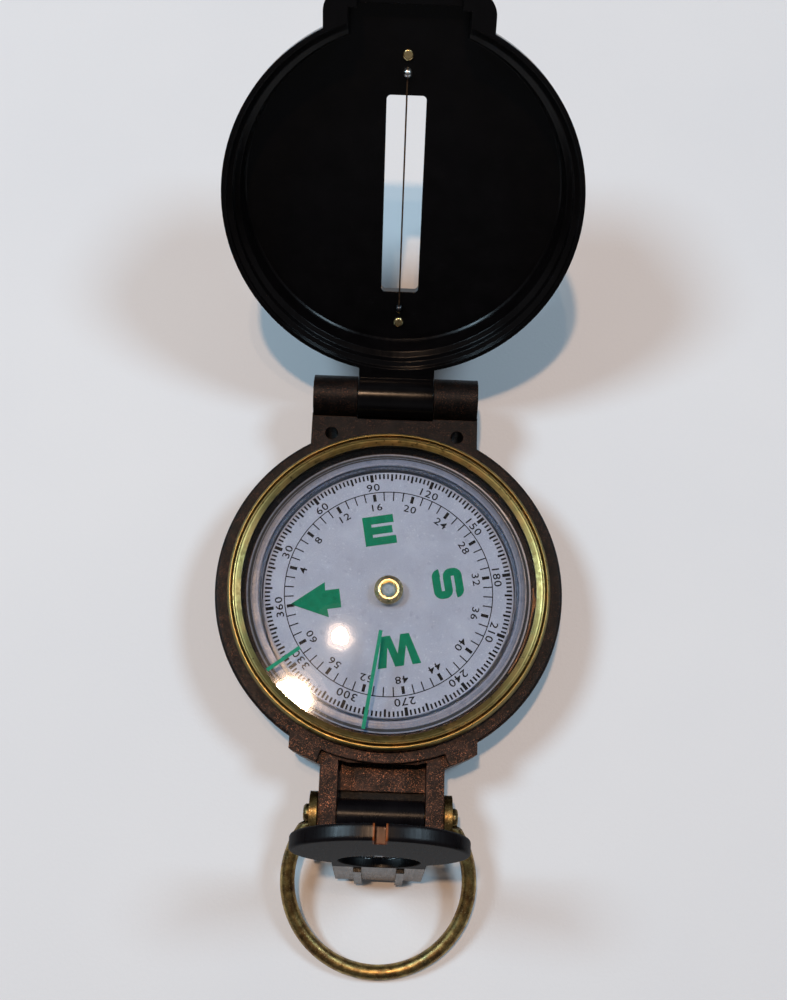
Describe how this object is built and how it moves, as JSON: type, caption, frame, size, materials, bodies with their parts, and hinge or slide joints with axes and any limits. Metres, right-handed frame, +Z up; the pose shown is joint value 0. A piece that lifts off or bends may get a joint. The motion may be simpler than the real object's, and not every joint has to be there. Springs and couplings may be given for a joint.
{
  "type": "folding sighting compass",
  "caption": "Folding sighting compass: round case with floating dial, turning brass bezel, slotted wire-sight lid, lens eyepiece and thumb ring.",
  "frame": {"origin": "on the dial's axis, at the surface the case stands on", "axes": "+Z up along the dial's axis, +Y towards the lid's hinge, -Y towards the thumb ring, +X to the right"},
  "size_m": [0.0572, 0.1437, 0.0591],
  "materials": {
    "case_paint": "bronze-brown metallic hammer paint, worn to copper on edges",
    "black_plastic": "glossy black moulding with fine scratches",
    "bezel_brass": "turned and polished",
    "ring_brass": "tarnished olive-brown brass",
    "pin_steel": "drawn steel",
    "spring_bronze": "phosphor bronze strip",
    "wire_bronze": "drawn wire, oxidised",
    "capsule_plastic": "milky blue-grey moulding",
    "clear_plastic": "clear acrylic, faintly blue, lightly scratched",
    "lens_glass": "polished",
    "seal_rubber": "moulded",
    "dial_face": "pale lavender-grey card with dark brown scales and green cardinal letters",
    "jewel": "polished jewel bearing",
    "magnet": "sintered ferrite",
    "index_green": "green index paint"
  },
  "bodies": {
    "case": {"base_case": "case_paint", "lid_hinge_pin": "pin_steel", "eyepiece_and_ring_pin": "ring_brass", "capsule_cup": "capsule_plastic", "capsule_seal": "seal_rubber", "capsule_cover": "clear_plastic", "pivot_post": "pin_steel", "bezel_snap_ring": "pin_steel", "bezel_click_spring": "spring_bronze"},
    "dial": {"dial_card": "dial_face", "dial_hub": "bezel_brass", "dial_jewel": "jewel", "dial_magnet": "magnet"},
    "bezel": {"bezel_ring": "bezel_brass", "crystal": "clear_plastic", "index_lines": "index_green"},
    "lid": {"lid_cover": "black_plastic", "sight_wire": "wire_bronze", "wire_beads": "pin_steel", "wire_pins": "bezel_brass"},
    "eyepiece": {"eyepiece_frame": "black_plastic", "eyepiece_lens": "lens_glass", "lens_retaining_ring": "black_plastic"},
    "ring": {"thumb_ring": "ring_brass"}
  },
  "joints": [
    {"name": "lid_hinge", "type": "hinge", "parent": "case", "child": "lid", "pos_m": [0, 0.03333, 0.01163], "axis": [-1, 0, 0], "range_deg": [-132.2, 46]},
    {"name": "eyepiece_hinge", "type": "hinge", "parent": "case", "child": "eyepiece", "pos_m": [0, -0.03584, 0.008], "axis": [1, 0, 0], "range_deg": [-80.5, 9]},
    {"name": "ring_swing", "type": "hinge", "parent": "case", "child": "ring", "pos_m": [0, -0.03584, 0.008], "axis": [-1, 0, 0], "range_deg": [-105, 72]},
    {"name": "bezel_turn", "type": "hinge", "parent": "case", "child": "bezel", "pos_m": [0, 0, 0.0125], "axis": [0, 0, 1], "continuous": true},
    {"name": "dial_turn", "type": "hinge", "parent": "case", "child": "dial", "pos_m": [0, 0, 0.0091], "axis": [0, 0, 1], "continuous": true}
  ]
}
